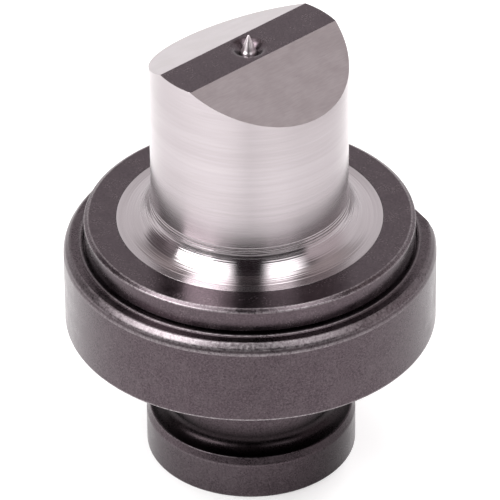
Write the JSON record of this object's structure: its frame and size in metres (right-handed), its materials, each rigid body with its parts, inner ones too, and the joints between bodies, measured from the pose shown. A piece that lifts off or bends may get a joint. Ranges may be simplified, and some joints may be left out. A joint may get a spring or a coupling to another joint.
{
  "type": "live center",
  "caption": "Short live center: ground roof-nosed spindle with a sprung centre point, turning on bearings inside a black round housing with a grooved stud and one locating flat.",
  "frame": {"origin": "centre of the stud's end face, on the axis of rotation", "axes": "+Z along the axis of rotation towards the nose, +X along the outward normal of the housing's locating flat"},
  "size_m": [0.0571, 0.06, 0.0779],
  "materials": {
    "ground_steel": "fine cylindrical grinding, satin to bright",
    "black_oxide": "black oxide on turned steel, satin, edges worn bright",
    "bearing_steel": "lapped hardened bearing steel, bright",
    "spring_steel": "oiled spring steel, satin",
    "cage_brass": "machined brass, satin",
    "polished_tip": "polished hard tip",
    "seal_rubber": "matt black nitrile rubber"
  },
  "bodies": {
    "housing_body": {"housing": "black_oxide", "retention_stud": "black_oxide", "front_cap": "black_oxide", "cap_o_ring": "seal_rubber", "nose_seal": "seal_rubber", "bearing_outer_race": "bearing_steel", "needle_cup": "bearing_steel", "thrust_washer_lower": "bearing_steel", "disc_spring_lower": "spring_steel", "disc_spring_upper": "spring_steel", "stud_lock_screw": "black_oxide"},
    "spindle": {"nose_spindle": "ground_steel", "bearing_inner_race": "bearing_steel", "race_retaining_ring": "spring_steel", "thrust_washer_upper": "bearing_steel", "point_spring": "spring_steel", "spring_plug": "black_oxide"},
    "centre_point": {"centre_point": "polished_tip"},
    "ball_set": {"ball_cage": "cage_brass", "bearing_ball_01": "bearing_steel", "bearing_ball_02": "bearing_steel", "bearing_ball_03": "bearing_steel", "bearing_ball_04": "bearing_steel", "bearing_ball_05": "bearing_steel", "bearing_ball_06": "bearing_steel", "bearing_ball_07": "bearing_steel", "bearing_ball_08": "bearing_steel", "bearing_ball_09": "bearing_steel", "bearing_ball_10": "bearing_steel", "bearing_ball_11": "bearing_steel", "bearing_ball_12": "bearing_steel"},
    "thrust_set": {"thrust_cage": "cage_brass", "thrust_ball_01": "bearing_steel", "thrust_ball_02": "bearing_steel", "thrust_ball_03": "bearing_steel", "thrust_ball_04": "bearing_steel", "thrust_ball_05": "bearing_steel", "thrust_ball_06": "bearing_steel", "thrust_ball_07": "bearing_steel", "thrust_ball_08": "bearing_steel"},
    "needle_set": {"needle_cage": "cage_brass", "needle_01": "bearing_steel", "needle_02": "bearing_steel", "needle_03": "bearing_steel", "needle_04": "bearing_steel", "needle_05": "bearing_steel", "needle_06": "bearing_steel", "needle_07": "bearing_steel", "needle_08": "bearing_steel", "needle_09": "bearing_steel", "needle_10": "bearing_steel", "needle_11": "bearing_steel", "needle_12": "bearing_steel"}
  },
  "joints": [
    {"name": "spindle_spin", "type": "hinge", "parent": "housing_body", "child": "spindle", "pos_m": [0, 0, 0.0354], "axis": [0, 0, 1], "continuous": true},
    {"name": "centre_point_press", "type": "slide", "parent": "spindle", "child": "centre_point", "axis": [0, 0, -1], "range_m": [0, 0.0019], "stiffness_N_per_m": 8000, "springref_m": -0.001, "deforming": ["point_spring"]},
    {"name": "ball_cage_spin", "type": "hinge", "parent": "housing_body", "child": "ball_set", "pos_m": [0, 0, 0.0354], "axis": [0, 0, 1], "continuous": true},
    {"name": "thrust_cage_spin", "type": "hinge", "parent": "housing_body", "child": "thrust_set", "pos_m": [0, 0, 0.01135], "axis": [0, 0, 1], "continuous": true},
    {"name": "needle_cage_spin", "type": "hinge", "parent": "housing_body", "child": "needle_set", "pos_m": [0, 0, 0.0207], "axis": [0, 0, 1], "continuous": true}
  ],
  "couplings": [
    {"joint": "ball_cage_spin", "follows": "spindle_spin", "ratio": 0.4111},
    {"joint": "thrust_cage_spin", "follows": "spindle_spin", "ratio": 0.5},
    {"joint": "needle_cage_spin", "follows": "spindle_spin", "ratio": 0.4342}
  ]
}
